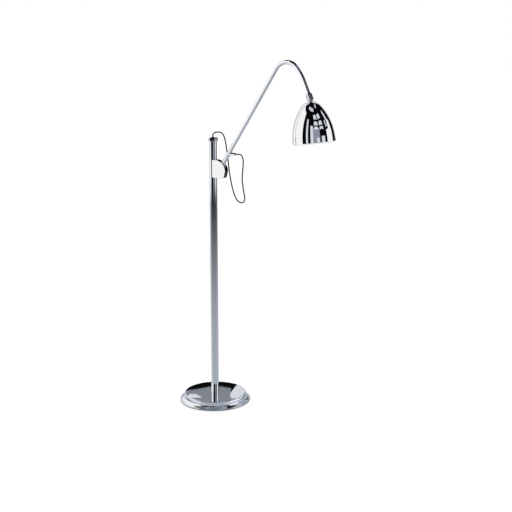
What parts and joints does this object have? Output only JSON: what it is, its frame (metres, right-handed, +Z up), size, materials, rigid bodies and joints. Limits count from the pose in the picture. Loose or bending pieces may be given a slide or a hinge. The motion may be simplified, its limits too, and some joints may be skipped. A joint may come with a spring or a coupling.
{
  "type": "floor lamp",
  "caption": "Chrome pharmacy floor lamp: weighted round base, slim post, sliding hub with tilting swan-neck arm and domed metal shade.",
  "frame": {"origin": "centre of the base pad's underside, on the floor", "axes": "+Z up along the post, +X the way the arm reaches at rest, +Y completes the right-handed frame"},
  "size_m": [0.6187, 0.28, 1.3298],
  "materials": {
    "chrome": "bright polished chrome plate",
    "zinc_steel": "zinc-plated steel, satin",
    "brass": "bare drawn brass",
    "cast_iron": "rough casting, primed dark grey",
    "nylon": "natural nylon, matte",
    "black_rubber": "moulded black rubber",
    "felt": "pressed black felt",
    "cord_pvc": "dark brown-black vinyl cord sheath, satin",
    "black_phenolic": "moulded black phenolic",
    "frosted_glass": "inside-frosted white glass"
  },
  "bodies": {
    "base": {"base_shell": "chrome", "base_weight": "cast_iron", "base_pad": "felt", "inlet_grommet": "black_rubber", "foot_nipple": "zinc_steel", "foot_washer": "zinc_steel", "foot_nut": "zinc_steel", "glide_washer": "nylon", "foot_bush": "nylon", "foot_locknut": "zinc_steel"},
    "post": {"post_tube": "chrome", "foot_ring": "zinc_steel", "stop_pin": "zinc_steel", "post_cap": "chrome", "cap_grommet": "black_rubber", "post_lead": "cord_pvc", "cord_drop": "cord_pvc"},
    "hub": {"hub_body": "chrome", "slide_liner": "nylon", "strap_upper": "chrome", "strap_lower": "chrome", "strap_screw_upper": "zinc_steel", "strap_screw_lower": "zinc_steel", "wave_washer": "zinc_steel", "pivot_bolt": "chrome", "friction_disc_front": "nylon", "friction_disc_rear": "nylon"},
    "arm": {"arm_tube": "chrome", "arm_knuckle": "zinc_steel", "cord_outlet": "chrome", "outlet_grommet": "black_rubber", "outlet_lead": "cord_pvc", "arm_ferrule": "brass", "arm_lead": "cord_pvc", "cord_tail": "cord_pvc"},
    "neck": {"neck_sleeve": "chrome", "tilt_pin_front": "chrome", "tilt_pin_rear": "chrome", "ball_seat": "nylon"},
    "shade": {"swivel_ball": "chrome", "shade": "chrome", "shade_nut": "zinc_steel", "holder_cup": "brass", "holder_nut": "zinc_steel", "holder_core": "black_phenolic", "holder_shell": "brass", "holder_liner": "black_phenolic", "screw_shell": "brass", "centre_contact": "brass", "bulb_cap": "zinc_steel", "bulb_glass": "frosted_glass"}
  },
  "joints": [
    {"name": "post_swivel", "type": "hinge", "parent": "base", "child": "post", "pos_m": [0, 0, 0.035], "axis": [0, 0, 1], "range_deg": [-165, 165]},
    {"name": "hub_slide", "type": "slide", "parent": "post", "child": "hub", "axis": [0, 0, 1], "range_m": [-0.22, 0.035], "deforming": ["cord_drop"]},
    {"name": "arm_tilt", "type": "hinge", "parent": "hub", "child": "arm", "pos_m": [0.0285, 0, 0.9271], "axis": [0, 1, 0], "range_deg": [-18, 50], "deforming": ["cord_tail"]},
    {"name": "neck_swivel", "type": "hinge", "parent": "arm", "child": "neck", "pos_m": [0.3822, 0, 1.1875], "axis": [0.3665, 0, -0.9304], "range_deg": [-160, 160]},
    {"name": "shade_tilt", "type": "hinge", "parent": "neck", "child": "shade", "pos_m": [0.3822, 0, 1.1875], "axis": [0, 1, 0], "range_deg": [-39, 8]}
  ]
}
